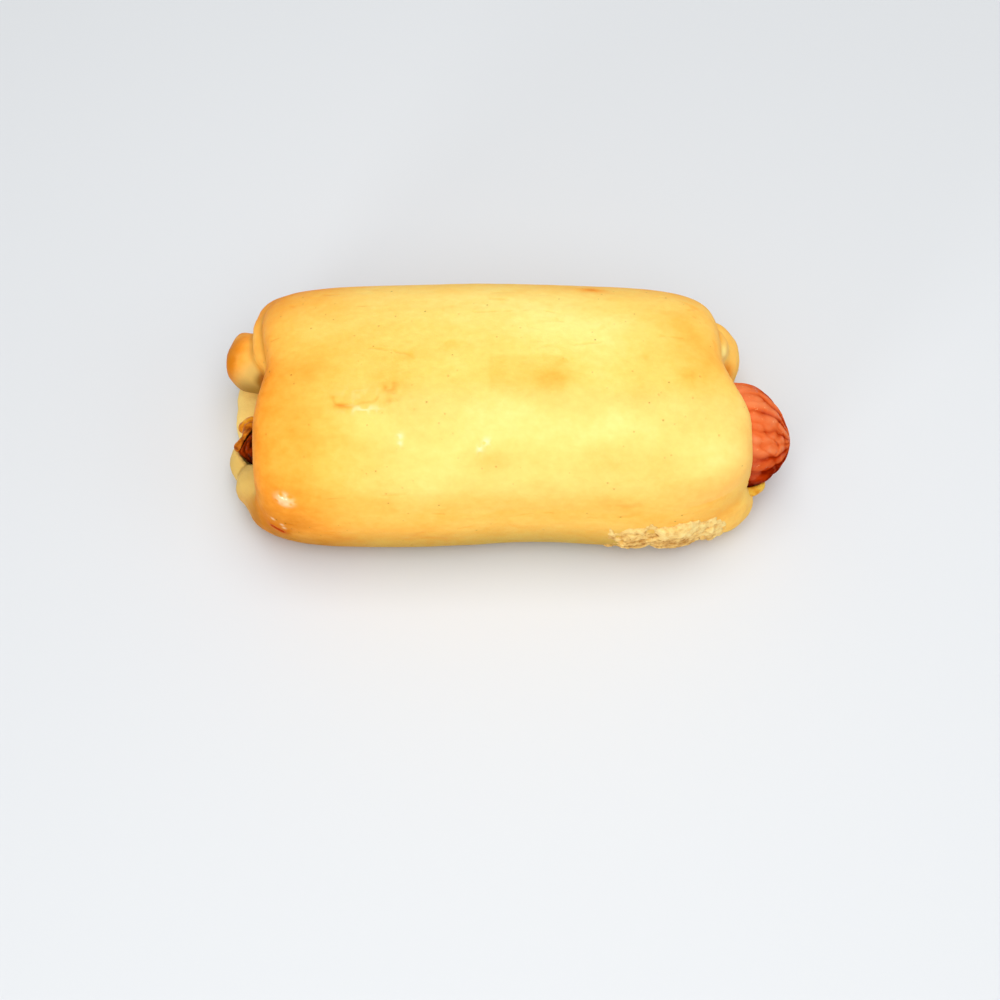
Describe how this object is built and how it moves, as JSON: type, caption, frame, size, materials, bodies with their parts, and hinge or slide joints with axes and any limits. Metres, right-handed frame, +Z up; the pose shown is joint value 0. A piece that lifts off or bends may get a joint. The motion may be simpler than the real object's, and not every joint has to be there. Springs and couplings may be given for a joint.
{
  "type": "sausage kolache",
  "caption": "Baked roll of soft glazed dough wrapped round a sausage with melted cheese; the sausage sticks out at one end and is shrunken and dark at the other.",
  "frame": {"origin": "middle of the bounding box's underside, on the flat baked base", "axes": "+X along the roll to the end where the sausage sticks out, +Y to the back, away from the torn crumb on the front wall, +Z up"},
  "size_m": [0.145, 0.0684, 0.0445],
  "materials": {
    "baked_dough": "satin",
    "sausage_skin": "satin",
    "melted_cheese": "satin"
  },
  "bodies": {
    "root": {"dough": "baked_dough", "sausage": "sausage_skin", "cheese": "melted_cheese"}
  },
  "joints": []
}
